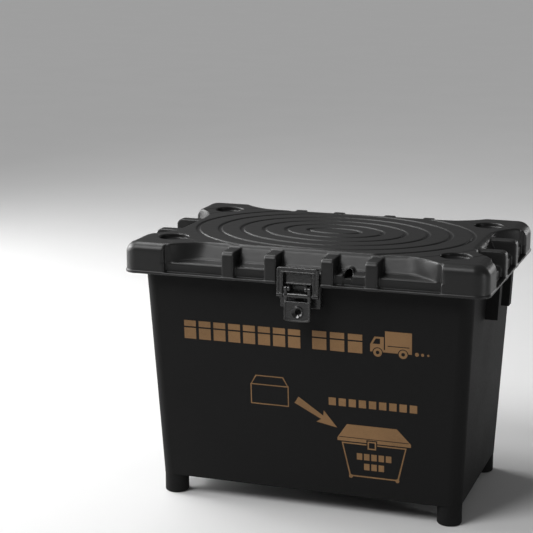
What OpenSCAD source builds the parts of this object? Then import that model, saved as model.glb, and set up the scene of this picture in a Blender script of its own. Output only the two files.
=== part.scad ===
// Parcel drop box: a tapered moulded tub on four round feet, a hinged lid with
// ribs and stacking cups, and a draw latch with an eye for a padlock.
// Millimetres, +Z up, standing on the floor, front towards -Y.

/* [Lid] */
// Width of the lid across its lower flange
lid_w = 600; // [560:5:640]
// Depth of the lid across its lower flange
lid_d = 400; // [390:2:410]
// Plan radius of the lid's corners
lid_r = 24.5; // [20:0.5:30]
// Height of the lid's lower edge above the floor
lid_z = 386.5; // [380:0.5:400]
// Height of the lid from its lower edge to its flat top
lid_h = 50.5; // [48:0.5:54]
// Thickness of the lid's moulded wall
lid_wall = 3.5; // [2.5:0.5:4]
// Radius that rolls the lid's top edge over into its sides
lid_edge_r = 14; // [8:1:16]

/* [Tub] */
// Width of the tub at the lid's lower edge
tub_top_w = 543.5; // [536:0.5:548]
// Depth of the tub at the lid's lower edge
tub_top_d = 353; // [346:0.5:356]
// Width of the tub at its floor
tub_floor_w = 510.5; // [500:0.5:516]
// Depth of the tub at its floor
tub_floor_d = 302.5; // [294:0.5:310]
// Thickness of the tub's wall and floor
tub_wall = 3.5; // [2.5:0.5:4]
// Radius of the round feet, which continue the tub's corners
foot_r = 20; // [18:0.5:22]
// Height of the tub's floor above the ground
foot_h = 32; // [25:0.5:40]

/* [Lid relief] */
// Width of each rib on the lid's sides
rib_w = 20; // [16:1:22]
// Depth of the grooves in the lid's flat top
groove_depth = 1.8; // [1:0.1:2.5]
// Radius of the cups that take the feet of a box stacked on top
cup_r = 24.5; // [23:0.5:26]
// Depth of those cups
cup_depth = 8; // [5:0.5:10]

/* [Latch] */
// Width of the latch's wire-like bail
bail_w = 68.8; // [64:0.2:70]
// Width of the latch's lever
lever_w = 43.4; // [40:0.2:44]
// Radius of the padlock's hole in the lever
lock_hole_r = 3.5; // [3:0.5:4]

/* [Hidden] */

$fn = 64;
hull_fn = 40;

plastic = [0.10, 0.10, 0.10];
latch_black = [0.05, 0.05, 0.05];
steel = [0.6, 0.6, 0.62];
eyelet_black = [0.03, 0.03, 0.03];
bronze = [0.43, 0.32, 0.23];

running_fit = 0.05;
tiny = 0.01;

// Lid
flange_h = 4.5;
flange_proud = 1.5;
body_w = lid_w - 2 * flange_proud;
body_d = lid_d - 2 * flange_proud;
body_r = lid_r - flange_proud;
top_z = lid_z + lid_h;
flange_top_z = lid_z + flange_h;
// The sunk stretch of each side, measured inwards from the corner blocks' face
setback = 8;
ledge_back = 22.5;
long_back = 40;
short_back = 47.5;
ledge_z = lid_z + 20.5;
ledge_round = 3;
cove_steps = 6;
long_recess = 452;
short_recess = 200;
// Ribs
long_ribs = [-117.5, -46.5, 46.5, 117.5];
short_ribs = [-46.5, 46.5];
rib_drop = 5;
rib_round = 9;
rib_skin = 3;
// Grooves: ellipses evenly spaced towards the middle
groove_count = 6;
groove_w = 5;
groove_a = 237;
groove_b = 184;
groove_step_a = 37.7;
groove_step_b = 32;
groove_points = 72;
// Cable slot in the lid's front
slot_x = 79;
slot_w = 11;
slot_z = lid_z + 15;
slot_h = 9;
channel_w = 15;
channel_depth = 1.5;
// Where the latch stands in front of the lid, its flange is cut back
notch_w = 71;

// Tub
foot_inset = 0.5;
foot_x = tub_floor_w / 2 - foot_r - foot_inset;
foot_y = tub_floor_d / 2 - foot_r - foot_inset;
foot_edge = 3;
tub_r = foot_r + 1.6;
tub_h = lid_z - foot_h;
lean_x = (tub_top_w - tub_floor_w) / 2 / tub_h;
lean_y = (tub_top_d - tub_floor_d) / 2 / tub_h;
wall_angle = atan(lean_y);
rim_top_z = lid_z + 5;
rim_thick = 3.5;
rim_w = 570;
rim_d = 369;
// Webs under the rim at both ends
web_x = [289, 292];
web_y = [-60, 40];
web_w = 20;
web_z = 321;
web_gap = 0.5;
// The bead inside the lid that rests on the rim
bead_w = 4;
bead_gap = 0.3;

// Hinge
hinge_y = lid_d / 2 + 4;
hinge_z = lid_z - 6;
hinge_x = 82;
hinge_pin_r = 2.5;
hinge_barrel_r = 5.5;
knuckle_w = 26;
lug_w = 10;
lug_gap = 0.5;

// Latch, from the lid's sunk front face outwards
mid_y = -body_d / 2 + setback;
pad_w = 43.4;
pad_high_z = lid_z + 19.5;
pad_front = mid_y - 5;
bail_back = pad_front - 0.5;
bail_front = bail_back - 6;
bail_bar = 8.5;
bail_leg = 10.5;
bail_top_z = lid_z + 29;
bail_pivot = [(bail_front + bail_back) / 2, lid_z - 15.5];
bail_knuckle_r = 4;
// The lever's own pivot stands a little in front of the bail's, past centre
lever_pivot = [bail_pivot[0] - 1.5, lid_z - 5];
lever_barrel_r = 4;
lever_bar_r = 4.5;
lever_front = lever_pivot[0] - 3.5;
lever_back = lever_front + 5;
lever_low_z = lid_z - 58;
lever_high_z = lid_z - 24.5;
lever_round = 5;
lever_rim = 3;
arm_w = 4.7;
post_in = 12;
post_out = 16.2;
lock_z = lid_z - 42;
eyelet_r = 9.5;
eyelet_depth = 8;
box_w = 66;
box_wall = 3;
box_front = lever_back + 12;
box_low_z = lid_z - 38.5;
box_high_z = lid_z - 1;
pin_r = 2;
rivet_x = 11;
rivet_z = lid_z - 24.5;
rivet_r = 2;
rivet_head_r = 4.5;
rivet_head_h = 1.5;

// Print
print_thick = 0.2;

function tub_w(z) = tub_floor_w + 2 * lean_x * (z - foot_h);
function tub_d(z) = tub_floor_d + 2 * lean_y * (z - foot_h);
function wall_y(z) = -tub_d(z) / 2;

// Flat shape: a rectangle with rounded corners, centred
module round_rect(w, d, r) {
    square([w - 2 * r, d], center = true);
    square([w, d - 2 * r], center = true);
    for (x = [-1, 1], y = [-1, 1])
        translate([x * (w / 2 - r), y * (d / 2 - r)]) circle(r);
}

// A rounded slab between two heights
module slab(w, d, r, z0, z1) {
    translate([0, 0, z0]) linear_extrude(z1 - z0) round_rect(w, d, r);
}

// A cylinder along X, centred at x, about a [y, z] axis
module rod_x(axis, r, w, x = 0) {
    translate([x - w / 2, axis[0], axis[1]]) rotate([0, 90, 0]) cylinder(r = r, h = w);
}

// A block from one corner to the opposite one
module block(low, high) {
    translate(low) cube(high - low);
}

// Extrudes a flat [y, z] profile along X between two places
module along_x(x0, x1) {
    translate([x0, 0, 0]) rotate([90, 0, 90]) linear_extrude(x1 - x0) children();
}

// ---- Tub ----

// The tub's tapered body, drawn in from its outside by an inset
module tub_form(inset, z0, z1) {
    hull() for (z = [z0, z1])
        translate([0, 0, z]) linear_extrude(tiny)
            round_rect(tub_w(z) - 2 * inset, tub_d(z) - 2 * inset, tub_r - inset, $fn = hull_fn);
}

module foot() {
    rotate_extrude() {
        square([foot_r - foot_edge, foot_h + foot_edge]);
        translate([0, foot_edge]) square([foot_r, foot_h]);
        translate([foot_r - foot_edge, foot_edge]) circle(foot_edge);
    }
}

module foot_well() {
    translate([0, 0, tub_wall]) cylinder(r = foot_r - tub_wall, h = foot_h + tub_wall);
}

module hinge_lugs() {
    reach = knuckle_w / 2 + lug_gap;
    low_z = hinge_z - hinge_barrel_r;
    for (side = [-1, 1], end = [-1, 1]) {
        x = side * hinge_x + end * (reach + lug_w / 2);
        rod_x([hinge_y, hinge_z], hinge_barrel_r, lug_w, x);
        block([x - lug_w / 2, -wall_y(hinge_z) - tub_wall / 2, low_z],
            [x + lug_w / 2, hinge_y, low_z + 2 * hinge_barrel_r]);
    }
}

module end_webs() {
    root_x = tub_w(web_z) / 2 - tub_wall / 2;
    for (side = [0, 1], y = web_y) mirror([side, 0, 0])
        translate([0, y + web_w, 0]) rotate([90, 0, 0]) linear_extrude(web_w) polygon([
            [root_x, web_z], [web_x[0], web_z], [web_x[1], lid_z - web_gap],
            [rim_w / 2 - 1, lid_z - web_gap], [rim_w / 2 - 1, rim_top_z - rim_thick / 2],
            [root_x, rim_top_z - rim_thick / 2]]);
}

module tub() {
    color(plastic) difference() {
        union() {
            tub_form(0, foot_h, rim_top_z - tiny);
            slab(rim_w, rim_d, tub_r + 12, rim_top_z - rim_thick, rim_top_z);
            for (x = [-1, 1], y = [-1, 1]) translate([x * foot_x, y * foot_y, 0]) foot();
            hinge_lugs();
            end_webs();
        }
        tub_form(tub_wall, foot_h + tub_wall, rim_top_z + 1);
        for (x = [-1, 1], y = [-1, 1]) translate([x * foot_x, y * foot_y, 0]) foot_well();
        for (x = [-1, 1]) rod_x([hinge_y, hinge_z], hinge_pin_r, 2 * knuckle_w, x * hinge_x);
        for (x = [-1, 1]) translate([x * rivet_x, 0, rivet_z])
            rotate([90, 0, 0]) cylinder(r = rivet_r, h = lid_d / 2);
    }
}

// ---- Lid ----

// The plain lid with its rolled top edge, drawn in from its outside by an inset
module lid_form(inset, z0) {
    r = body_r - inset;
    edge = lid_edge_r - inset;
    z1 = top_z - inset;
    hull() for (x = [-1, 1], y = [-1, 1])
        translate([x * (body_w / 2 - body_r), y * (body_d / 2 - body_r), 0])
            rotate_extrude($fn = hull_fn) intersection() {
                translate([0, z0]) square([r, z1 - z0]);
                union() {
                    translate([0, z0 - 1]) square([r + 1, z1 - edge - z0 + 1]);
                    translate([0, z0]) square([r - edge, z1 - z0]);
                    translate([r - edge, z1 - edge]) circle(edge);
                }
            }
}

// What is cut away along a side, as [distance in from the face, height].
// The inset moves the surface into the lid, for the cavity below it.
module recess_profile(inset, side_back) {
    back = side_back + inset;
    rise = top_z - ledge_z;
    run = side_back - ledge_back;
    low = inset > 0 ? lid_z - 2 : flange_top_z;
    cove = [for (i = [0 : cove_steps]) let (t = i / cove_steps)
        [back - run * t, top_z - inset - rise * sin(90 * t)]];
    polygon(concat([[-20, top_z + 20], [back, top_z + 20]], cove,
        [[setback + inset + ledge_round, ledge_z - inset],
        [setback + inset, ledge_z - inset - ledge_round], [setback + inset, low], [-20, low]]));
}

// A rib's own outline on the same axes
module rib_profile(inset, side_back) {
    high = top_z - rib_drop - inset;
    round_r = rib_round - inset;
    low = inset > 0 ? lid_z - 2 : lid_z;
    translate([inset + round_r, low]) square([side_back - round_r, high - low]);
    translate([inset, low]) square([side_back, high - round_r - low]);
    translate([inset + round_r, high - round_r]) circle(round_r);
}

// Places an extruded side profile on all four sides of the lid
module on_long_sides(half_length) {
    for (side = [0, 1]) mirror([0, side, 0]) translate([0, -body_d / 2, 0])
        along_x(-half_length, half_length) children();
}

module on_short_sides(half_length) {
    for (side = [0, 1]) mirror([side, 0, 0]) translate([-body_w / 2, 0, 0])
        rotate([0, 0, -90]) along_x(-half_length, half_length) children();
}

module recesses(inset) {
    on_long_sides(long_recess / 2 + inset) recess_profile(inset, long_back);
    on_short_sides(short_recess / 2 + inset) recess_profile(inset, short_back);
}

module ribs(inset) {
    half = rib_w / 2 - inset;
    for (x = long_ribs) translate([x, 0, 0]) on_long_sides(half) rib_profile(inset, long_back);
    for (y = short_ribs) translate([0, y, 0]) on_short_sides(half) rib_profile(inset, short_back);
}

function ellipse(a, b) = [for (i = [0 : groove_points - 1])
    let (t = 360 * i / groove_points) [a * cos(t), b * sin(t)]];

module grooves() {
    translate([0, 0, top_z - groove_depth]) linear_extrude(groove_depth + 1)
        for (i = [0 : groove_count - 1]) {
            a = groove_a - i * groove_step_a;
            b = groove_b - i * groove_step_b;
            difference() {
                polygon(ellipse(a, b));
                polygon(ellipse(a - groove_w, b - groove_w));
            }
        }
}

module cups(r, depth) {
    for (x = [-1, 1], y = [-1, 1]) translate([x * foot_x, y * foot_y, top_z - depth])
        cylinder(r = r, h = depth + 5);
}

module cable_slot() {
    translate([slot_x, -body_d / 2 + long_back, slot_z]) rotate([90, 0, 0]) {
        translate([-slot_w / 2, 0, 0]) cube([slot_w, slot_h, long_back]);
        translate([0, slot_h, 0]) cylinder(r = slot_w / 2, h = long_back);
    }
    block([slot_x - channel_w / 2, -body_d / 2, flange_top_z],
        [slot_x + channel_w / 2, -body_d / 2 + setback + channel_depth, ledge_z + 1]);
}

module lid_cavity() {
    difference() {
        lid_form(lid_wall, lid_z - 2);
        recesses(lid_wall);
        cups(cup_r + lid_wall, cup_depth + lid_wall);
        // The bead that rests on the tub's rim, with the wall behind it
        difference() {
            slab(rim_w - 6, rim_d - 6, tub_r + 9, rim_top_z + bead_gap, top_z);
            slab(rim_w - 6 - 2 * bead_w, rim_d - 6 - 2 * bead_w, tub_r + 9 - bead_w,
                rim_top_z, top_z + 1);
        }
    }
    ribs(rib_skin);
}

module hinge_knuckles() {
    for (side = [-1, 1]) {
        x = side * hinge_x;
        rod_x([hinge_y, hinge_z], hinge_barrel_r, knuckle_w, x);
        block([x - knuckle_w / 2, body_d / 2 - 1, hinge_z],
            [x + knuckle_w / 2, hinge_y + hinge_barrel_r, flange_top_z]);
    }
}

module lid() {
    color(plastic) difference() {
        union() {
            difference() {
                union() {
                    lid_form(0, lid_z);
                    slab(lid_w, lid_d, lid_r, lid_z, flange_top_z);
                }
                recesses(0);
                grooves();
            }
            ribs(0);
            hinge_knuckles();
        }
        lid_cavity();
        cups(cup_r, cup_depth);
        cable_slot();
        block([-notch_w / 2, -lid_d / 2 - 1, lid_z - 1], [notch_w / 2, mid_y, flange_top_z + 1]);
        for (x = [-1, 1])
            rod_x([hinge_y, hinge_z], hinge_pin_r + running_fit, knuckle_w + 1, x * hinge_x);
    }
}

module hinge_pin(x) {
    color(steel) rod_x([hinge_y, hinge_z], hinge_pin_r, knuckle_w + 2 * (lug_gap + lug_w), x);
}

module hinge_pin_left() { hinge_pin(-hinge_x); }
module hinge_pin_right() { hinge_pin(hinge_x); }

// ---- Latch ----

// A pad on the lid's sunk front that the bail closes round
module latch_keeper() {
    lip = 1.2;
    lip_h = 3;
    color(latch_black) {
        block([-pad_w / 2, pad_front + lip, lid_z], [pad_w / 2, mid_y, pad_high_z]);
        for (z = [lid_z, pad_high_z - lip_h])
            block([-pad_w / 2, pad_front, z], [pad_w / 2, mid_y, z + lip_h]);
    }
}

// A box on the tub's wall, open at its back, with two posts for the lever's pins
// and a tongue with a hole in line with the lever's eye
module latch_bracket() {
    inner = box_w / 2 - box_wall;
    back_y = wall_y(box_low_z) + 5;
    tongue_w = 24;
    tongue_low_z = lock_z - 10;
    boss_r = 5.5;
    post_half = lever_barrel_r - 0.6;
    fit_gap = 0.02;
    color(latch_black) difference() {
        union() {
            difference() {
                block([-box_w / 2, box_front, box_low_z], [box_w / 2, back_y, box_high_z]);
                block([-inner, box_front + box_wall, box_low_z + box_wall],
                    [inner, back_y + 1, box_high_z - box_wall]);
            }
            block([-tongue_w / 2, box_front, tongue_low_z],
                [tongue_w / 2, box_front + box_wall, box_low_z + 1]);
            for (x = [-1, 1]) translate([x * rivet_x, back_y, rivet_z])
                rotate([90, 0, 0]) cylinder(r = boss_r, h = back_y - box_front - box_wall / 2);
            for (side = [0, 1]) mirror([side, 0, 0]) {
                rod_x(lever_pivot, lever_barrel_r, post_out - post_in, (post_in + post_out) / 2);
                block([post_in, lever_pivot[0], lever_pivot[1] - post_half],
                    [post_out, box_front + box_wall / 2, lever_pivot[1] + post_half]);
            }
        }
        // The tub's leaning wall behind it
        along_x(-box_w, box_w) polygon([
            [wall_y(box_low_z - 30) - fit_gap, box_low_z - 30], [0, box_low_z - 30],
            [0, rim_top_z], [wall_y(rim_top_z) - fit_gap, rim_top_z]]);
        rod_x(lever_pivot, pin_r, box_w);
        for (x = [-1, 1]) translate([x * rivet_x, 0, rivet_z])
            rotate([90, 0, 0]) cylinder(r = rivet_r, h = lid_d);
        translate([0, 0, lock_z]) rotate([90, 0, 0])
            cylinder(r = lock_hole_r + 1, h = lid_d);
    }
}

// A rivet through the bracket's boss and the tub's wall, headed on both sides
module latch_rivet(x) {
    inner_y = wall_y(rivet_z) + tub_wall;
    lean = 0.3;
    color(steel) translate([x, 0, rivet_z]) rotate([90, 0, 0]) {
        translate([0, 0, -inner_y - rivet_head_h])
            cylinder(r = rivet_r, h = inner_y - box_front + rivet_head_h);
        translate([0, 0, -box_front]) cylinder(r = rivet_head_r, h = rivet_head_h);
        translate([0, 0, -inner_y - lean - rivet_head_h]) cylinder(r = rivet_head_r, h = rivet_head_h);
    }
}

module latch_rivet_left() { latch_rivet(-rivet_x); }
module latch_rivet_right() { latch_rivet(rivet_x); }

// The lever's plate as seen from the front, drawn in from its edge
module lever_face(inset) {
    w = lever_w / 2 - inset;
    r = lever_round - inset;
    low = lever_low_z + inset;
    high = lever_high_z - inset;
    translate([-w, low + r]) square([2 * w, high - low - r]);
    translate([-w + r, low]) square([2 * (w - r), r + 1]);
    for (x = [-1, 1]) translate([x * (w - r), low + r]) circle(r);
}

// The eyelet's outline as [radius, distance back from the lever's front]
function eyelet_outer() = [[0, -1], [eyelet_r, -1], [eyelet_r, 1.5], [lock_hole_r + 1.5, 4],
    [lock_hole_r + 1.5, eyelet_depth], [0, eyelet_depth]];

module latch_lever() {
    arm_in = lever_w / 2 - arm_w;
    boss_r = 8;
    panel_depth = 1;
    web = 0.7;
    color(latch_black) difference() {
        union() {
            // The finger plate, a raised rim round a flat panel
            difference() {
                translate([0, lever_back, 0]) rotate([90, 0, 0])
                    linear_extrude(lever_back - lever_front) lever_face(0);
                translate([0, lever_front + panel_depth, 0]) rotate([90, 0, 0])
                    linear_extrude(panel_depth + 1) lever_face(lever_rim);
            }
            translate([0, lever_front + eyelet_depth - 0.5, lock_z]) rotate([90, 0, 0])
                cylinder(r = boss_r, h = eyelet_depth - 1 - panel_depth);
            // The bar that carries the bail, and the arms up to the lever's pivot
            rod_x(bail_pivot, lever_bar_r, lever_w);
            for (side = [0, 1]) mirror([side, 0, 0]) {
                rod_x(lever_pivot, lever_barrel_r, arm_w, lever_w / 2 - arm_w / 2);
                along_x(arm_in, lever_w / 2) polygon([
                    [lever_front + 1.5, lever_high_z - 3], [lever_back - 0.5, lever_high_z - 3],
                    [bail_pivot[0] + lever_bar_r - web, bail_pivot[1]],
                    [lever_pivot[0] + lever_barrel_r - web, lever_pivot[1]],
                    [lever_pivot[0] - lever_barrel_r + web, lever_pivot[1]],
                    [bail_pivot[0] - lever_bar_r + web, bail_pivot[1]]]);
            }
        }
        rod_x(bail_pivot, pin_r, lever_w + 2);
        rod_x(lever_pivot, pin_r + running_fit, lever_w + 2);
        translate([0, lever_front, lock_z]) rotate([-90, 0, 0])
            rotate_extrude() polygon(eyelet_outer());
    }
}

module lever_pin(side) {
    length = lever_w / 2 - post_in;
    color(steel) rod_x(lever_pivot, pin_r, length, side * (post_in + length / 2));
}

module lever_pin_left() { lever_pin(-1); }
module lever_pin_right() { lever_pin(1); }

// The dished eye that lines the padlock's hole
module lock_eyelet() {
    color(eyelet_black) translate([0, lever_front, lock_z]) rotate([-90, 0, 0])
        rotate_extrude() polygon([[eyelet_r, 0], [eyelet_r, 1.5], [lock_hole_r + 1.5, 4],
            [lock_hole_r + 1.5, eyelet_depth], [lock_hole_r, eyelet_depth], [lock_hole_r, 3],
            [lock_hole_r + 2, 1.6], [eyelet_r - 1.5, 0]]);
}

module latch_bail() {
    side = bail_w / 2;
    color(latch_black) difference() {
        union() {
            block([-side, bail_front, bail_top_z - bail_bar], [side, bail_back, bail_top_z]);
            for (x = [-1, 1]) {
                mid = x * (side - bail_leg / 2);
                block([mid - bail_leg / 2, bail_front, bail_pivot[1]],
                    [mid + bail_leg / 2, bail_back, bail_top_z]);
                rod_x(bail_pivot, bail_knuckle_r, bail_leg, mid);
            }
        }
        rod_x(bail_pivot, pin_r + running_fit, bail_w + 2);
    }
}

module bail_pin() {
    color(steel) rod_x(bail_pivot, pin_r, bail_w);
}

// ---- Print ----

// Places a flat drawing, in [x, height] as seen from the front, on the tub's wall
module on_front_wall() {
    translate([0, wall_y(foot_h), foot_h]) rotate([90 + wall_angle, 0, 0])
        translate([0, -foot_h, 0]) linear_extrude(print_thick) children();
}

module bar(x0, z0, x1, z1) {
    translate([x0, z0]) square([x1 - x0, z1 - z0]);
}

// A four-sided frame of even line width
module frame_line(x0, z0, x1, z1, line) {
    difference() {
        bar(x0, z0, x1, z1);
        bar(x0 + line, z0 + line, x1 - line, z1 - line);
    }
}

// A headline's worth of plain parcel blocks, each with a strap across it
module parcel_row(x0, z0, count, w, h, gap) {
    strap = 2.5;
    for (i = [0 : count - 1]) {
        x = x0 + i * (w + gap);
        bar(x, z0, x + w, z0 + h * 0.6);
        bar(x, z0 + h * 0.6 + strap, x + w, z0 + h);
    }
}

// A plain van that drives to the left, with puffs behind it
module van(x0, z0) {
    wheels = [14, 55];
    translate([x0, z0]) {
        difference() {
            union() {
                bar(26, 10, 69, 43);
                bar(2, 8, 69, 12);
                polygon([[2, 8], [2, 20], [9, 33], [24, 33], [24, 8]]);
            }
            polygon([[6, 21], [11, 30], [18, 30], [18, 21]]);
            bar(30, 18, 65, 19.5);
            for (x = wheels) translate([x, 7]) circle(8.5);
        }
        for (x = wheels) translate([x, 7]) difference() {
            circle(7);
            circle(3);
        }
        for (i = [0 : 2]) translate([77 + i * 9, 9]) circle(3.2 - i * 0.7);
    }
}

// A carton seen from the front, with its open top behind
module carton(x0, z0, w, h, top_h, line) {
    tuck = 9;
    frame_line(x0, z0, x0 + w, z0 + h, line);
    translate([x0, z0 + h]) difference() {
        polygon([[0, -line], [tuck, top_h], [w - tuck, top_h], [w, -line]]);
        polygon([[line * 1.4, 0], [tuck + line * 0.7, top_h - line],
            [w - tuck - line * 0.7, top_h - line], [w - line * 1.4, 0]]);
    }
}

// The drop box itself: a solid lid, a tapered outline below it and a latch
module box_sign(x0, z0) {
    line = 2.2;
    translate([x0, z0]) {
        difference() {
            polygon([[0, 63], [0, 68], [16, 92], [98, 92], [121, 68], [121, 63]]);
            bar(3, 69, 118, 70.2);
            bar(48, 60, 66, 68);
        }
        difference() {
            polygon([[7, 61], [114, 61], [101, 3], [20, 3]]);
            polygon([[9.5, 61 - line], [111.5, 61 - line], [99, 3 + line], [22, 3 + line]]);
            bar(48, 50, 66, 62);
        }
        frame_line(50, 52, 64, 66, line);
        for (x = [22, 99]) translate([x, 3]) circle(3.2);
        for (row = [0, 1], i = [row : 4 - row])
            bar(32 + i * 12, 33 - row * 17, 41 + i * 12, 44 - row * 17);
    }
}

module print_art() {
    parcel_row(-203, 278, 8, 20.4, 31, 5);
    parcel_row(15, 279, 3, 23.4, 31, 6);
    van(108, 276);
    carton(-91, 176, 65, 35, 15, 1.8);
    translate([-13, 190]) rotate(-31) polygon([
        [0, -6.5], [0, 6.5], [50, 3.5], [46, 12], [79, 0], [46, -12], [50, -3.5]]);
    for (i = [0 : 8]) bar(41 + i * 16.6, 187, 53 + i * 16.6, 200);
    box_sign(55, 65);
}

module front_print() {
    color(bronze) on_front_wall() print_art();
}

tub();
lid();
latch_keeper();
latch_bracket();
latch_rivet_left();
latch_rivet_right();
latch_lever();
lever_pin_left();
lever_pin_right();
lock_eyelet();
latch_bail();
bail_pin();
hinge_pin_left();
hinge_pin_right();
front_print();
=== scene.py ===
"""Looks of the parcel drop box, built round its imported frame.

Shapes are worked out in millimetres, and meshes are made in metres.
"""
import math

import bmesh
import bpy
import numpy as np
import openvdb
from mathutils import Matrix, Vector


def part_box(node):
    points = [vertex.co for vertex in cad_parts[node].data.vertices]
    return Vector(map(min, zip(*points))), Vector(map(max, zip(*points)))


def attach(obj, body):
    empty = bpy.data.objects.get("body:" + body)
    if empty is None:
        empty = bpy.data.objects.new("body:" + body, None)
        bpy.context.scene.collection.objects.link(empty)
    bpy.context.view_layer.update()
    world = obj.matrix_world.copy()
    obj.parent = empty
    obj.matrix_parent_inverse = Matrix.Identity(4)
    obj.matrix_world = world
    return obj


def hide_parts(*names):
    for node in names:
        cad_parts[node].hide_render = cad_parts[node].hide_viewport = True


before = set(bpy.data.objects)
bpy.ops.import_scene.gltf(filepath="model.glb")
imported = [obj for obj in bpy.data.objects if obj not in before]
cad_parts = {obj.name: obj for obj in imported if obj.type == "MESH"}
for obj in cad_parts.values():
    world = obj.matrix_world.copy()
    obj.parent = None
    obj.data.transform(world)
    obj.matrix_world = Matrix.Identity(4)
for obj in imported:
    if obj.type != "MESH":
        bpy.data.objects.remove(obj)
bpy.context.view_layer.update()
MM = 0.001


def node_box(name):
    low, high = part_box(name)
    return np.array(low) / MM, np.array(high) / MM


lid_low, lid_high = node_box("lid")

# ---- Distance fields: negative inside, in millimetres ----


def rrect(x, y, hx, hy, r):
    """Rounded rectangle centred on the origin."""
    qx, qy = np.abs(x) - hx + r, np.abs(y) - hy + r
    return np.hypot(np.maximum(qx, 0), np.maximum(qy, 0)) + np.minimum(np.maximum(qx, qy), 0) - r


def meet(a, b, r=0.0):
    """Intersection whose outer edge is rounded by r, which may vary."""
    if np.ndim(r) == 0 and not r:
        return np.maximum(a, b)
    return np.minimum(-r, np.maximum(a, b)) + np.hypot(np.maximum(r + a, 0), np.maximum(r + b, 0))


def join(a, b, r=0.0):
    """Union whose inner corner is filled by a fillet of r."""
    if not r:
        return np.minimum(a, b)
    return np.maximum(r, np.minimum(a, b)) - np.hypot(np.maximum(r - a, 0), np.maximum(r - b, 0))


def cut(a, b, r=0.0):
    """a without b, the new edge rounded by r."""
    return meet(a, -b, r)


def between(v, low, high):
    return np.abs(v - (low + high) / 2) - (high - low) / 2


def block(x, y, z, low, high, r=0.0):
    """Box with edges rounded by r."""
    q = [between(v, a, b) + r for v, a, b in zip((x, y, z), low, high)]
    out = np.sqrt(sum(np.maximum(v, 0) ** 2 for v in q))
    return out + np.minimum(np.maximum(np.maximum(q[0], q[1]), q[2]), 0) - r


def rod_x(x, y, z, at, r, x0, x1, edge=0.4):
    """Round bar of radius r along x through (y, z) == at."""
    return meet(np.hypot(y - at[0], z - at[1]) - r, between(x, x0, x1), edge)


def plate(flat, y, y0, y1, r=0.0):
    """A flat drawing in x, z given thickness along y, edges rounded."""
    return meet(flat, between(y, y0, y1), r)


def field_mesh(name, shape, low, high, step, adapt=0.004):
    """Meshes shape(x, y, z) == 0 over a box."""
    axes = [np.arange(a - 3 * step, b + 3 * step, step, dtype=np.float32)
            for a, b in zip(low, high)]
    x, y, z = np.meshgrid(*axes, indexing="ij", sparse=True)
    d = np.clip(shape(x, y, z) / step, -3, 3).astype(np.float32)
    d = np.array(np.broadcast_to(d, [len(a) for a in axes]), order="C")
    grid = openvdb.FloatGrid(3.0)
    grid.copyFromArray(d)
    points, tris, quads = grid.convertToPolygons(0.0, adapt)
    points = (points * step + [a[0] for a in axes]) * MM
    faces = [list(map(int, f)) for f in tris] + [list(map(int, f)) for f in quads]
    return make_mesh(name, points.tolist(), faces)


def make_mesh(name, points, faces, angle=None):
    """A smooth-shaded object; edges sharper than angle degrees stay sharp."""
    mesh = bpy.data.meshes.new(name)
    mesh.from_pydata(points, [], faces)
    bm = bmesh.new()
    bm.from_mesh(mesh)
    bmesh.ops.remove_doubles(bm, verts=bm.verts, dist=1e-7)
    bmesh.ops.dissolve_degenerate(bm, edges=bm.edges, dist=1e-7)
    bmesh.ops.recalc_face_normals(bm, faces=bm.faces)
    bm.to_mesh(mesh)
    bm.free()
    mesh.validate()
    mesh.polygons.foreach_set("use_smooth", [True] * len(mesh.polygons))
    if angle:
        mesh.set_sharp_from_angle(angle=math.radians(angle))
    ob = bpy.data.objects.new(name, mesh)
    bpy.context.scene.collection.objects.link(ob)
    return ob


def apply_modifier(ob, kind, **settings):
    mod = ob.modifiers.new(kind.lower(), kind)
    for key, value in settings.items():
        setattr(mod, key, value)
    bpy.context.view_layer.objects.active = ob
    bpy.ops.object.modifier_apply(modifier=mod.name)


def weigh(ob):
    """Shades flat faces flat and leaves the gradient to the rounded edges."""
    apply_modifier(ob, "WEIGHTED_NORMAL", mode="FACE_AREA", weight=80, keep_sharp=True)


# ---- Lid ----
HALF_W, HALF_D = 300.0, 200.0
LID_Z, TOP_Z = 386.5, float(lid_high[2])
FACE_X, FACE_Y = HALF_W - 1.5, HALF_D - 1.5  # faces stand back from the flange's edge
FLANGE_Z = LID_Z + 4.5
MID = 8.0  # how far the middle of each side stands back from the corner blocks
LEDGE_Z = LID_Z + 20.5
LEDGE_RISE = 0.2
RIB_TOP = TOP_Z - 5
RIB_HALF, RIB_NOSE = 10, 9
FEET = (234.75, 130.75)  # centres of the feet and of the cups above them
CUP_R, CUP_DEPTH = 24.5, 8
SKIN = 3.5
RIM_TOP = LID_Z + 5
HINGE_X, HINGE_AT, HINGE_R = 82, (204, 380.5), 5.5
SLOT_X = 77.5
SWEEP = 1.75  # above 1, so that a recess's wall leaves the straight softly
GROOVE_DEPTH, GUIDE_DEPTH = 2.2, 0.9


def sweep(along, start, end, deep):
    """How far in a wall stands, straight and then drawing out to the corner, and its slope."""
    u = np.clip((along - start) / (end - start), 0, 1.1)
    return deep * (1 - u ** SWEEP), SWEEP * deep * u ** (SWEEP - 1) / (end - start)


def cut_recess(d, along, out, face, deep, flat_half, end, z):
    """Sinks a stretch of one side: a gently rising ledge and a steep wall, swept at the ends."""
    inwards = face - out
    ledge = LEDGE_Z + LEDGE_RISE * (inwards - MID)
    up = np.clip((z - ledge) / (TOP_Z - LEDGE_Z - 5), -0.2, 1.3)
    top, top_slope = sweep(along, flat_half - 6, end, deep)
    low, low_slope = sweep(along, flat_half, end + 2, deep - 14)
    wall = low + (top - low) * up
    d_wall = (inwards - wall) / np.sqrt(1.1 + np.maximum(top_slope, low_slope) ** 2)
    gone = meet(d_wall, (ledge - z) * 0.98, 2)
    # The upper edge is softest along the middle
    return cut(d, gone, 2.5 + 4.5 * np.clip((flat_half + 15 - along) / 40, 0, 1))


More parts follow.
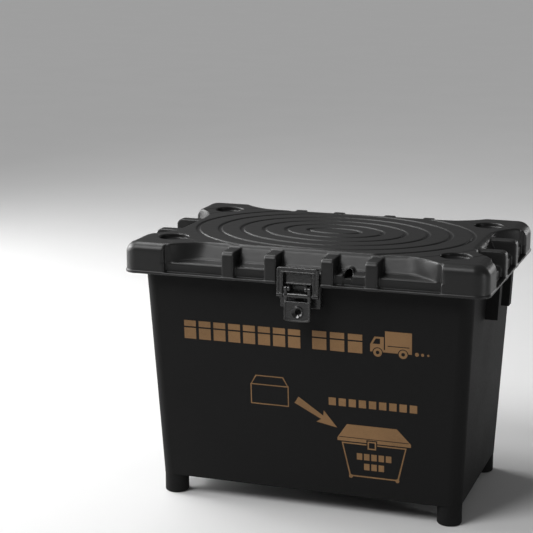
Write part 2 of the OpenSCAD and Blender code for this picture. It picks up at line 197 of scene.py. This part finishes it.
def ribs(along, out, face, places, z):
    """Upright ribs across a recess, their noses rounded."""
    profile = meet(out - face, z - RIB_TOP, RIB_NOSE)
    d = None
    for c in places:
        one = meet(meet(np.abs(along - c) - RIB_HALF, profile, 2.2), 130 - out)
        d = one if d is None else np.minimum(d, one)
    return d


GROOVES = [(237 - 37.7 * i, 184 - 32 * i) for i in range(6)]  # half axes of the ovals
GUIDES = [((275, 112), (257, 139)), ((254, 76), (237, 104)), ((232, 165), (221, 176)),
          ((213, 135), (184, 159)), ((281, 131), (281, 172))]


def groove_depth(x, y):
    """Depth of the oval grooves, each just inside its oval."""
    g = 0
    for a, b in GROOVES:
        k = np.hypot(x / a, y / b)
        slope = np.hypot(x / a ** 2, y / b ** 2) / np.maximum(k, 0.05)
        d = np.abs((k - 1) / np.maximum(slope, 1e-4) + 3.5)
        g = np.maximum(g, np.clip((3.9 - d) / 1.7, 0, 1))
    return GROOVE_DEPTH * g * g * (3 - 2 * g)


def guide_depth(ax, ay):
    """Fine lines that guide the feet of a box stacked on top."""
    g = 0
    for (x0, y0), (x1, y1) in GUIDES:
        length = math.hypot(x1 - x0, y1 - y0)
        tx, ty = (x1 - x0) / length, (y1 - y0) / length
        t = np.clip((ax - x0) * tx + (ay - y0) * ty, 0, length)
        away = np.hypot(ax - x0 - t * tx, ay - y0 - t * ty)
        g = np.maximum(g, np.clip(1 - (away / 1.5) ** 2, 0, 1))
    return GUIDE_DEPTH * g


def lid_shape(x, y, z):
    ax, ay = np.abs(x), np.abs(y)
    # The top edge is rolled over more at the short sides than at the long ones
    qx, qy = np.maximum(ax - FACE_X + 23, 0), np.maximum(ay - FACE_Y + 23, 0)
    d = meet(rrect(x, y, FACE_X, FACE_Y, 23), z - TOP_Z, 14 + 7 * qx / (qx + qy + 1e-3))
    d = cut_recess(d, ax, ay, FACE_Y, 41, 170, 228, z)
    d = cut_recess(d, ay, ax, FACE_X, 48, 70, 132, z)
    for face, out, along, half in ((FACE_Y, ay, ax, 226), (FACE_X, ax, ay, 130)):
        sunk = meet(meet(face - MID - out, along - half, 2), FLANGE_Z - 1 - z)
        d = cut(d, sunk, 3)
    d = join(d, ribs(ax, ay, FACE_Y, (46.5, 117.5), z), 3)
    d = join(d, ribs(ay, ax, FACE_X, (46.5,), z), 3)
    cup = np.hypot(ax - FEET[0], ay - FEET[1])
    skin = np.maximum(d, -np.maximum(cup - CUP_R, TOP_Z - CUP_DEPTH - z)) + SKIN
    d = np.maximum(d, z - TOP_Z + np.maximum(groove_depth(x, y), guide_depth(ax, ay)))
    d = cut(d, meet(cup - CUP_R, TOP_Z - CUP_DEPTH - z, 3), 2)
    # Flange all round, cut back where the latch stands
    edge = meet(rrect(x, y, HALF_W, HALF_D, 24.5), z - FLANGE_Z, 1.3)
    d = join(d, edge, 1.0)
    d = np.maximum(d, -np.maximum(np.maximum(ax - 35.5, y + FACE_Y - MID), z - FLANGE_Z - 0.5))
    # Hollow underside, with the bead that rests on the tub's rim
    bead = np.maximum(np.abs(rrect(x, y, 280, 179.5, 28)) - 2, RIM_TOP + 0.3 - z)
    d = np.maximum(d, -np.maximum(skin, -bead))
    # Cable slot: an arched hole in a face that leans back, with a channel in front of it
    arch = np.hypot(x - SLOT_X, np.maximum(z - 409, 0))
    slope = (y + 190 - 0.92 * (z - 401)) * 0.74
    d = join(d, meet(meet(arch - 7.2, -slope, 0.6), meet(y + 165, 399 - z), 0.8), 2)
    d = cut(d, meet(meet(np.abs(x - SLOT_X) - 7, slope), 400.5 - z), 0.5)
    hole = meet(arch - 5.5, 401.5 - z, 0.6)
    d = cut(d, np.maximum(hole, y + 155), 0.5)
    channel = block(x, y, z, (SLOT_X - 7.5, -210, FLANGE_Z),
                    (SLOT_X + 7.5, -FACE_Y + MID + 1.6, LEDGE_Z + 6), 0.6)
    d = cut(d, channel, 0.4)
    # Hinge knuckles
    for c in (-HINGE_X, HINGE_X):
        knuckle = rod_x(x, y, z, HINGE_AT, HINGE_R, c - 13, c + 13, 0.8)
        arm = block(x, y, z, (c - 13, FACE_Y - 1.5, HINGE_AT[1]), (c + 13, 209.4, FLANGE_Z), 0.8)
        d = join(d, np.minimum(knuckle, arm), 1.0)
    return np.maximum(d, np.where(y < 203, LID_Z - z, lid_low[2] - z))


lid = field_mesh("lid_shell", lid_shape, (-HALF_W, -HALF_D, 374), (HALF_W, 209.5, 437),
                 1.25)
weigh(lid)

# ---- Tub ----
FLOOR_Z, WALL = 32.0, 3.5
LEAN_X, LEAN_Y = (271.75 - 255.25) / (LID_Z - FLOOR_Z), (176.5 - 151.25) / (LID_Z - FLOOR_Z)
TUB_R = 21.6
RIM = (285.0, 184.5, 33.6)  # half width, half depth and corner radius
CORNER_STEPS = 14
FOOT_R = 20
WEB_Z, WEB_W = 321, 20


def tub_half(z):
    """Half width and half depth of the leaning walls at a height."""
    return 255.25 + LEAN_X * (z - FLOOR_Z), 151.25 + LEAN_Y * (z - FLOOR_Z)


def ring_points(hx, hy, r, z):
    """A rounded rectangle's outline at height z."""
    pts = []
    for k, (sx, sy) in enumerate(((1, 1), (-1, 1), (-1, -1), (1, -1))):
        for i in range(CORNER_STEPS + 1):
            t = math.pi / 2 * (k + i / CORNER_STEPS)
            pts.append((sx * (hx - r) + r * math.cos(t), sy * (hy - r) + r * math.sin(t), z))
    return pts


def loft(name, rings, angle=35):
    """Skins a stack of outlines that have the same number of points, and caps both ends."""
    points, faces, n = [], [], len(rings[0])
    for ring in rings:
        points += [tuple(c * MM for c in p) for p in ring]
    for j in range(len(rings) - 1):
        for i in range(n):
            k = (i + 1) % n
            faces.append((j * n + i, j * n + k, (j + 1) * n + k, (j + 1) * n + i))
    faces.append(tuple(reversed(range(n))))
    faces.append(tuple((len(rings) - 1) * n + i for i in range(n)))
    return make_mesh(name, points, faces, angle)


def tub_rings():
    """Outlines up the outside of the tub, over its rim and down the inside."""
    rings = []

    def add(inset, z, r=TUB_R):
        hx, hy = tub_half(z)
        rings.append(ring_points(hx - inset, hy - inset, max(r - inset, 1), z))

    edge = 3.0
    for i in range(6):
        t = math.pi / 2 * i / 5
        add(edge * (1 - math.sin(t)), FLOOR_Z + edge * (1 - math.cos(t)))
    for z in (60, 120, 180, 240, 300, 350):
        add(0, z)
    under = RIM_TOP - WALL
    hx, hy = tub_half(under)
    for i in range(4):
        t = math.pi / 2 * i / 3
        out = 2 * (1 - math.cos(t))
        rings.append(ring_points(hx + out, hy + out, TUB_R + out, under - 2 * (1 - math.sin(t))))
    rx, ry, rr = RIM
    for i in range(5):
        t = math.pi * i / 4
        inset = 1.2 * (1 - math.sin(t))
        rings.append(ring_points(rx - inset, ry - inset, rr - inset,
                                 (under + RIM_TOP) / 2 - (WALL / 2) * math.cos(t)))
    hx, hy = tub_half(RIM_TOP)
    for i in range(4):
        t = math.pi / 2 * i / 3
        off = WALL - 1.5 * (1 - math.sin(t))
        rings.append(ring_points(hx - off, hy - off, TUB_R - off,
                                 RIM_TOP - 1.5 * (1 - math.cos(t))))
    for z in (350, 300, 240, 180, 120, 60):
        add(WALL, z)
    fillet, base = 7.0, FLOOR_Z + WALL
    for i in range(6):
        t = math.pi / 2 * i / 5
        add(WALL + fillet * (1 - math.cos(t)), base + fillet * (1 - math.sin(t)))
    return rings


def turned(name, profile, at, steps=48):
    """A closed outline of (radius, height) turned about an upright axis."""
    rings = []
    for r, z in profile:
        rings.append([(at[0] + r * math.cos(2 * math.pi * i / steps),
                       at[1] + r * math.sin(2 * math.pi * i / steps), z) for i in range(steps)])
    return loft(name, rings)


def rounded_foot(x, y):
    profile = [(FOOT_R - 3 + 3 * math.sin(t), 3 - 3 * math.cos(t))
               for t in np.linspace(0, math.pi / 2, 7)]
    profile = [(15.5, 0.6), (16.2, 0.0)] + profile
    profile += [(FOOT_R, FLOOR_Z - 1.5), (FOOT_R + 0.3, FLOOR_Z - 0.4),
                (FOOT_R + 0.5, FLOOR_Z + 2)]
    return turned("foot", profile, (x, y))


def prism(name, outline, axis, low, high, bevel=1.2):
    """An outline extruded along an axis, edges rounded."""
    order = {"x": lambda u, v, w: (w, u, v), "y": lambda u, v, w: (u, w, v)}[axis]
    n = len(outline)
    pts = [tuple(c * MM for c in order(u, v, w)) for w in (low, high) for u, v in outline]
    faces = [tuple(range(n)), tuple(range(2 * n - 1, n - 1, -1))]
    faces += [(i, i + n, (i + 1) % n + n, (i + 1) % n) for i in range(n)]
    ob = make_mesh(name, pts, faces)
    if bevel:
        apply_modifier(ob, "BEVEL", width=bevel * MM, segments=3, limit_method="ANGLE",
                       angle_limit=math.radians(25))
    return ob


def boolean(ob, other, operation):
    apply_modifier(ob, "BOOLEAN", object=other, operation=operation, solver="EXACT")
    bpy.data.objects.remove(other)


tub = loft("tub_shell", tub_rings())
well_outline = [(12, WALL), (16.5, WALL + 4), (16.5, FLOOR_Z + 3), (18, FLOOR_Z + 5)]
for sx in (-1, 1):
    for sy in (-1, 1):
        spot = (sx * FEET[0], sy * FEET[1])
        boolean(tub, rounded_foot(*spot), "UNION")
        boolean(tub, turned("well", well_outline, spot), "DIFFERENCE")
# Plates that frame the grip at each side
web_root = tub_half(WEB_Z)[0] - 2
web_outline = [(web_root, WEB_Z), (289, WEB_Z), (292, LID_Z - 0.5), (284, LID_Z - 0.5),
               (284, RIM_TOP - 2), (web_root + 2, RIM_TOP - 2)]
for side in (-1, 1):
    web = [(side * u, v) for u, v in web_outline]
    for y in (-60, 40):
        boolean(tub, prism("web", web, "y", y, y + WEB_W, 1.0), "UNION")
# Lugs on both sides of each hinge knuckle
hinge_y, hinge_z = HINGE_AT
lug = [(174, 375), (hinge_y, 375)]
lug += [(hinge_y + HINGE_R * math.sin(t), hinge_z - HINGE_R * math.cos(t))
        for t in np.linspace(0.2, math.pi - 0.2, 9)]
lug += [(hinge_y, 386), (174, 386)]
for c in (-HINGE_X, HINGE_X):
    for end in (-1, 1):
        x0 = c + end * 18.5
        boolean(tub, prism("lug", lug, "x", x0 - 5, x0 + 5, 0.6), "UNION")
tub.data.polygons.foreach_set("use_smooth", [True] * len(tub.data.polygons))
tub.data.set_sharp_from_angle(angle=math.radians(32))
weigh(tub)

# ---- Latch ----
MID_Y = -FACE_Y + MID
PAD_FRONT = MID_Y - 5
BAIL_BACK = PAD_FRONT - 0.5
BAIL_FRONT = BAIL_BACK - 6
BAIL_PIVOT = ((BAIL_FRONT + BAIL_BACK) / 2, LID_Z - 15.5)
LEVER_PIVOT = (BAIL_PIVOT[0] - 1.5, LID_Z - 5)
LEVER_FRONT = LEVER_PIVOT[0] - 3.5
LEVER_BACK = LEVER_FRONT + 5
LEVER_LOW, LEVER_HIGH = LID_Z - 58, LID_Z - 24.5
BOX_FRONT = LEVER_BACK + 12
BOX_LOW, BOX_HIGH = LID_Z - 38.5, LID_Z - 1
LOCK_Z = LID_Z - 42
RIVETS = (11, LID_Z - 24.5)
LEVER_W = 43.4 / 2  # half width
LEVER_PIN_R, BAIL_PIN_R, RIVET_R = 2, 2, 2
SHACKLE_R = 4.5
FINE = 0.4


def keeper_shape(x, y, z):
    """Pad on the lid's front, with a rolled edge at its top and foot."""
    d = block(x, y, z, (-21.7, PAD_FRONT + 2.4, LID_Z), (21.7, MID_Y + 1, LID_Z + 19.5), 0.9)
    for mid in (LID_Z + 1.9, LID_Z + 17.6):
        d = join(d, rod_x(x, y, z, (PAD_FRONT + 1.9, mid), 1.9, -21.7, 21.7, 1.0), 0.3)
    return np.maximum(d, y - MID_Y)


def bracket_shape(x, y, z):
    """Open-backed box on the tub, with arms for the lever and a tongue for the padlock."""
    ax = np.abs(x)
    back = -tub_half(BOX_LOW)[1] + 5
    outer = block(x, y, z, (-33, BOX_FRONT, BOX_LOW), (33, back + 8, BOX_HIGH), 1.8)
    inner = block(x, y, z, (-30, BOX_FRONT + 3, BOX_LOW + 3), (30, back + 9, BOX_HIGH - 3), 0.8)
    d = np.maximum(outer, -inner)
    flat = rrect(x, z - (BOX_LOW + LOCK_Z - 10) / 2, 12, (BOX_LOW - LOCK_Z + 10) / 2 + 1, 3)
    tongue = plate(flat, y, BOX_FRONT, BOX_FRONT + 3, 0.8)
    tongue = np.minimum(tongue, block(x, y, z, (-12, BOX_FRONT, LOCK_Z - 2),
                                      (12, BOX_FRONT + 3, BOX_LOW + 2), 0.8))
    d = join(d, tongue, 0.6)
    boss = np.maximum(np.hypot(ax - RIVETS[0], z - RIVETS[1]) - 5.5,
                      np.maximum(BOX_FRONT + 1.5 - y, y - back))
    d = np.minimum(d, boss)
    post = rod_x(ax, y, z, LEVER_PIVOT, 4, 12, 16.2, 0.6)
    arm = block(ax, y, z, (12, LEVER_PIVOT[0], LEVER_PIVOT[1] - 3.4),
                (16.2, BOX_FRONT + 1.5, LEVER_PIVOT[1] + 3.4), 0.6)
    d = join(d, np.minimum(post, arm), 0.8)
    # Cut by the leaning wall behind, and bored for the pins, rivets and padlock
    wall = -(151.25 + LEAN_Y * (z - FLOOR_Z)) - 0.02
    d = np.maximum(d, y - wall)
    d = np.maximum(d, LEVER_PIN_R - np.hypot(y - LEVER_PIVOT[0], z - LEVER_PIVOT[1]))
    d = np.maximum(d, RIVET_R - np.hypot(ax - RIVETS[0], z - RIVETS[1]))
    return cut(d, np.maximum(np.hypot(x, z - LOCK_Z) - SHACKLE_R, y - BOX_FRONT - 5), 0.5)


def lever_shape(x, y, z):
    """Lever with a sunk panel, a bar for the bail, two arms and a seat for the eyelet."""
    ax = np.abs(x)
    mid, half = (LEVER_LOW + LEVER_HIGH) / 2, (LEVER_HIGH - LEVER_LOW) / 2
    face = rrect(x, z - mid, LEVER_W, half, 5)
    face = np.minimum(face, rrect(x, z - mid - 3, LEVER_W, half - 3, 1.5))
    face = meet(face, np.hypot(x, z - LEVER_LOW - 100) - 100, 2)
    d = plate(face, y, LEVER_FRONT, LEVER_BACK, 1.2)
    panel = meet(rrect(x, z - mid, LEVER_W - 2.8, half - 2.8, 2.5),
                 np.hypot(x, z - LEVER_LOW - 97.5) - 94.7, 1)
    d = cut(d, meet(panel, y - LEVER_FRONT - 1.8, 0.6), 0.9)
    ring = plate(np.hypot(x, z - LOCK_Z) - 10.6, y, LEVER_FRONT + 0.6, LEVER_BACK - 1, 0.6)
    d = np.minimum(d, ring)
    boss = meet(np.hypot(x, z - LOCK_Z) - 8, between(y, LEVER_FRONT + 1.5, LEVER_FRONT + 7.5), 0.6)
    d = join(d, boss, 0.8)
    # The bar that carries the bail, and the arms up to the pivot
    d = join(d, rod_x(x, y, z, BAIL_PIVOT, 4.5, -LEVER_W, LEVER_W, 0.6), 1.0)
    side = between(ax, 17, LEVER_W)
    up = (z - LEVER_HIGH) / (LEVER_PIVOT[1] - LEVER_HIGH)
    arm_y = BAIL_PIVOT[0] + (LEVER_PIVOT[0] - BAIL_PIVOT[0]) * np.clip(up, 0, 1)
    arm = np.maximum(np.abs(y - arm_y) - 3.2, between(z, LEVER_HIGH - 3, LEVER_PIVOT[1]))
    arm = meet(arm, side, 0.6)
    d = join(d, arm, 0.6)
    d = join(d, rod_x(ax, y, z, LEVER_PIVOT, 4, 17, LEVER_W, 0.6), 0.4)
    d = np.maximum(d, BAIL_PIN_R - np.hypot(y - BAIL_PIVOT[0], z - BAIL_PIVOT[1]))
    d = np.maximum(d, LEVER_PIN_R + 0.05 - np.hypot(y - LEVER_PIVOT[0], z - LEVER_PIVOT[1]))
    # Seat of the padlock's eye
    r, back = np.hypot(x, z - LOCK_Z), y - LEVER_FRONT
    seat = np.interp(back, (-1, 1.5, 4, 9), (9.5, 9.5, 5, 5))
    return np.maximum(d, seat - r)


def bail_shape(x, y, z):
    """Flat frame, open at its foot, where its two knuckles turn on the lever's pin."""
    ax = np.abs(x)
    side, top = 34.4, LID_Z + 29
    frame_2d = rrect(x, z - (top + BAIL_PIVOT[1] - 20) / 2, side,
                     (top - BAIL_PIVOT[1] + 20) / 2, 4.5)
    hole = rrect(x, z - (top - 8.5 + BAIL_PIVOT[1] - 40) / 2, side - 10.5,
                 (top - 8.5 - BAIL_PIVOT[1] + 40) / 2, 2.5)
    d = plate(np.maximum(frame_2d, -hole), y, BAIL_FRONT, BAIL_BACK, 1.5)
    # A shallow channel along the middle of the legs and top bar
    d = cut(d, np.maximum(np.maximum(np.abs(frame_2d + 5.0) - 1.5, y - BAIL_FRONT - 1.0),
                          BAIL_PIVOT[1] + 4 - z), 0.5)
    d = np.maximum(d, BAIL_PIVOT[1] - z)
    d = join(d, rod_x(ax, y, z, BAIL_PIVOT, 4, side - 10.5, side, 0.8), 0.5)
    return np.maximum(d, BAIL_PIN_R + 0.05 - np.hypot(y - BAIL_PIVOT[0], z - BAIL_PIVOT[1]))


def small_part(name, node, shape):
    low, high = node_box(node)
    ob = field_mesh(name, shape, low, high, FINE)
    weigh(ob)
    return ob


keeper = small_part("keeper_moulding", "latch_keeper", keeper_shape)
bracket = small_part("bracket_moulding", "latch_bracket", bracket_shape)
lever = small_part("lever_moulding", "latch_lever", lever_shape)
bail = small_part("bail_moulding", "latch_bail", bail_shape)


def turned_part(name, profile, axis_y, x, z, steps=72):
    """A closed outline of (radius, y) turned about a line along y."""
    pts, faces, n = [], [], len(profile)
    for i in range(steps):
        t = 2 * math.pi * i / steps
        pts += [((x + r * math.cos(t)) * MM, (axis_y + v) * MM, (z + r * math.sin(t)) * MM)
                for r, v in profile]
    for i in range(steps):
        j = (i + 1) % steps
        faces += [(i * n + k, i * n + (k + 1) % n, j * n + (k + 1) % n, j * n + k)
                  for k in range(n)]
    return make_mesh(name, pts, faces, 40)


eye_outline = [(9.5, 0.5), (9.4, 0.15), (9.15, 0), (8.7, 0.08), (8.3, 0.35), (7.4, 0.95),
               (6.4, 1.65), (5.4, 2.4), (4.5, 3.1), (3.9, 3.7), (3.55, 4.5), (3.5, 8), (5, 8),
               (5, 4), (9.5, 1.5)]
eyelet = turned_part("eyelet_ring", eye_outline, LEVER_FRONT, 0, LOCK_Z)

# ---- Materials ----


class Nodes:
    """Small helper for building a node material."""

    def __init__(self, name):
        self.material = bpy.data.materials.new(name)
        self.material.use_nodes = True
        self.tree = self.material.node_tree
        self.shader = self.tree.nodes["Principled BSDF"]
        self.place = self.add("ShaderNodeTexCoord").outputs["Object"]

    def add(self, kind, inputs=None, **settings):
        node = self.tree.nodes.new(kind)
        for key, value in settings.items():
            setattr(node, key, value)
        for key, value in (inputs or {}).items():
            if isinstance(value, bpy.types.NodeSocket):
                self.tree.links.new(value, node.inputs[key])
            else:
                node.inputs[key].default_value = value
        return node

    def link(self, value, socket):
        self.tree.links.new(value, self.shader.inputs[socket])

    def noise(self, scale, detail=4.0, stretch=None, rough=0.55):
        place = self.place
        if stretch:
            place = self.add("ShaderNodeVectorMath", {0: place, 1: stretch},
                             operation="MULTIPLY").outputs[0]
        return self.add("ShaderNodeTexNoise", {"Vector": place, "Scale": scale, "Detail": detail,
                                               "Roughness": rough}).outputs["Fac"]

    def spread(self, value, low, high, a=0.3, b=0.7):
        """Carries a..b of value onto low..high."""
        return self.add("ShaderNodeMapRange", {"Value": value, "From Min": a, "From Max": b,
                                               "To Min": low, "To Max": high}).outputs["Result"]

    def colours(self, value, *stops):
        ramp = self.add("ShaderNodeValToRGB", {"Fac": value})
        ends = ramp.color_ramp.elements
        while len(ends) < len(stops):
            ends.new(0.5)
        for e, (at, colour) in zip(ends, stops):
            e.position, e.color = at, (*colour, 1)
        return ramp.outputs["Color"]

    def bump(self, height, distance, strength=1.0, under=None):
        node = self.add("ShaderNodeBump",
                        {"Height": height, "Distance": distance, "Strength": strength})
        if under is not None:
            self.tree.links.new(under, node.inputs["Normal"])
        return node.outputs["Normal"]


def grey(v):
    return (v, v, v)


def moulded(name, dark, light, rough, grain, depth, specular=0.5, sink=0.0):
    """Black plastic with a fine spark-eroded grain, faint cloudiness and a few scuffs."""
    m = Nodes(name)
    cloud = m.noise(5, 5)
    fine = m.noise(grain, 2, rough=0.6)
    scuff = m.noise(60, 6, stretch=(1, 6, 3))
    base = m.colours(m.add("ShaderNodeMath", {0: cloud, 1: fine}, operation="ADD").outputs[0],
                     (0.35, grey(dark)), (0.65, grey(light)))
    m.link(base, "Base Color")
    r = m.add("ShaderNodeMath", {0: m.spread(cloud, rough - 0.05, rough + 0.05),
                                 1: m.spread(scuff, -0.03, 0.04)}, operation="ADD").outputs[0]
    m.link(r, "Roughness")
    m.shader.inputs["Specular IOR Level"].default_value = specular
    normal = m.bump(fine, depth * MM, 0.6)
    if sink:
        normal = m.bump(m.noise(9, 2), sink * MM, 0.5, normal)
    m.link(normal, "Normal")
    return m.material


def metal(name, colour, rough):
    m = Nodes(name)
    grain = m.noise(500, 3, stretch=(0.15, 1, 1))
    m.link(m.colours(grain, (0.3, tuple(c * 0.8 for c in colour)), (0.7, colour)), "Base Color")
    m.link(m.spread(grain, rough - 0.08, rough + 0.08), "Roughness")
    m.shader.inputs["Metallic"].default_value = 1.0
    m.link(m.bump(grain, 0.02 * MM, 0.5), "Normal")
    return m.material


def printed(name, colour):
    m = Nodes(name)
    speck, cloud = m.noise(900, 3), m.noise(14, 4)
    both = m.add("ShaderNodeMath", {0: speck, 1: cloud}, operation="MULTIPLY").outputs[0]
    m.link(m.colours(both, (0.12, tuple(c * 0.7 for c in colour)), (0.32, colour)), "Base Color")
    m.link(m.spread(speck, 0.5, 0.65), "Roughness")
    m.shader.inputs["Specular IOR Level"].default_value = 0.2
    m.link(m.bump(speck, 0.05 * MM, 0.5), "Normal")
    return m.material


tub_plastic = moulded("tub_plastic", 0.006, 0.009, 0.66, 1300, 0.035, 0.1, 0.25)
lid_plastic = moulded("lid_plastic", 0.008, 0.012, 0.40, 1100, 0.035, 0.33, 0.2)
latch_plastic = moulded("latch_plastic", 0.006, 0.009, 0.27, 1700, 0.006, 0.6)
steel = metal("steel", (0.13, 0.13, 0.135), 0.38)
enamel = moulded("eyelet_enamel", 0.006, 0.010, 0.16, 900, 0.01, 0.6)
ink = printed("print_ink", (0.225, 0.128, 0.058))


def dress(ob, material):
    ob.data.materials.clear()
    ob.data.materials.append(material)
    for face in ob.data.polygons:
        face.material_index = 0


for ob, node, body, material, slot_name in (
        (lid, "lid", "lid_body", lid_plastic, "lid_plastic"),
        (tub, "tub", "tub_body", tub_plastic, "tub_plastic"),
        (keeper, "latch_keeper", "lid_body", latch_plastic, "latch_plastic"),
        (bracket, "latch_bracket", "tub_body", latch_plastic, "latch_plastic"),
        (lever, "latch_lever", "lever_body", latch_plastic, "latch_plastic"),
        (bail, "latch_bail", "bail_body", latch_plastic, "latch_plastic"),
        (eyelet, "lock_eyelet", "lever_body", enamel, "eyelet")):
    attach(ob, body)
    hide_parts(node)
    dress(ob, material)
for name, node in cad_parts.items():
    if name.endswith(("_pin", "_left", "_right")):
        dress(node, steel)
dress(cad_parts["front_print"], ink)

# ---- Floor, light and camera ----


def flat_material(name, colour, rough):
    m = Nodes(name)
    shade = m.colours(m.noise(3, 3), (0.3, tuple(c * 0.98 for c in colour)), (0.7, colour))
    m.link(shade, "Base Color")
    m.shader.inputs["Roughness"].default_value = rough
    return m.material


bpy.ops.mesh.primitive_plane_add(size=60, location=(0, 0, -0.0002))
floor = bpy.context.object
floor.name = "floor"
floor.data.materials.append(flat_material("floor_pale", (0.62, 0.62, 0.62), 0.8))


def area(name, at, target, size, power):
    data = bpy.data.lights.new(name, "AREA")
    data.shape, data.size, data.size_y, data.energy = "RECTANGLE", size[0], size[1], power
    ob = bpy.data.objects.new(name, data)
    bpy.context.scene.collection.objects.link(ob)
    ob.location = at
    aim = [b - a for a, b in zip(at, target)]
    ob.rotation_mode = "QUATERNION"
    ob.rotation_quaternion = Vector(aim).to_track_quat("-Z", "Y")
    return ob


CENTRE = (0, 0, 0.3)
area("overhead", (-1.0, 0.35, 2.1), CENTRE, (1.2, 0.9), 24)
area("left", (-2.3, 0.2, 0.9), CENTRE, (2.4, 1.3), 56)
area("left_glint", (-2.2, 0.1, 1.2), CENTRE, (0.7, 0.45), 22)
area("right_strip", (2.3, -0.75, 0.35), (0, 0, 0.3), (0.3, 1.0), 9)
area("right_back", (1.2, 2.6, 0.6), CENTRE, (0.8, 0.5), 5)

sun = bpy.data.lights.new("sun", "SUN")
sun.energy, sun.angle = 2.0, math.radians(28)
sun_ob = bpy.data.objects.new("sun", sun)
bpy.context.scene.collection.objects.link(sun_ob)
sun_ob.rotation_mode = "QUATERNION"
sun_ob.rotation_quaternion = Vector((0.42, 0.55, -0.72)).to_track_quat("-Z", "Y")

world = bpy.data.worlds.new("studio")
bpy.context.scene.world = world
world.use_nodes = True
world.node_tree.nodes["Background"].inputs["Color"].default_value = (1, 1, 1, 1)
world.node_tree.nodes["Background"].inputs["Strength"].default_value = 0.12
bpy.context.scene.view_settings.view_transform = "Standard"

cam = bpy.data.cameras.new("camera")
camera = bpy.data.objects.new("camera", cam)
bpy.context.scene.collection.objects.link(camera)
bpy.context.scene.camera = camera
camera.location = (0.7175, -2.4344, 0.9378)
camera.rotation_mode = "QUATERNION"
camera.rotation_quaternion = Vector((-0.3176, 0.9232, -0.2164)).to_track_quat("-Z", "Y")
cam.lens, cam.sensor_width = 104.6, 36
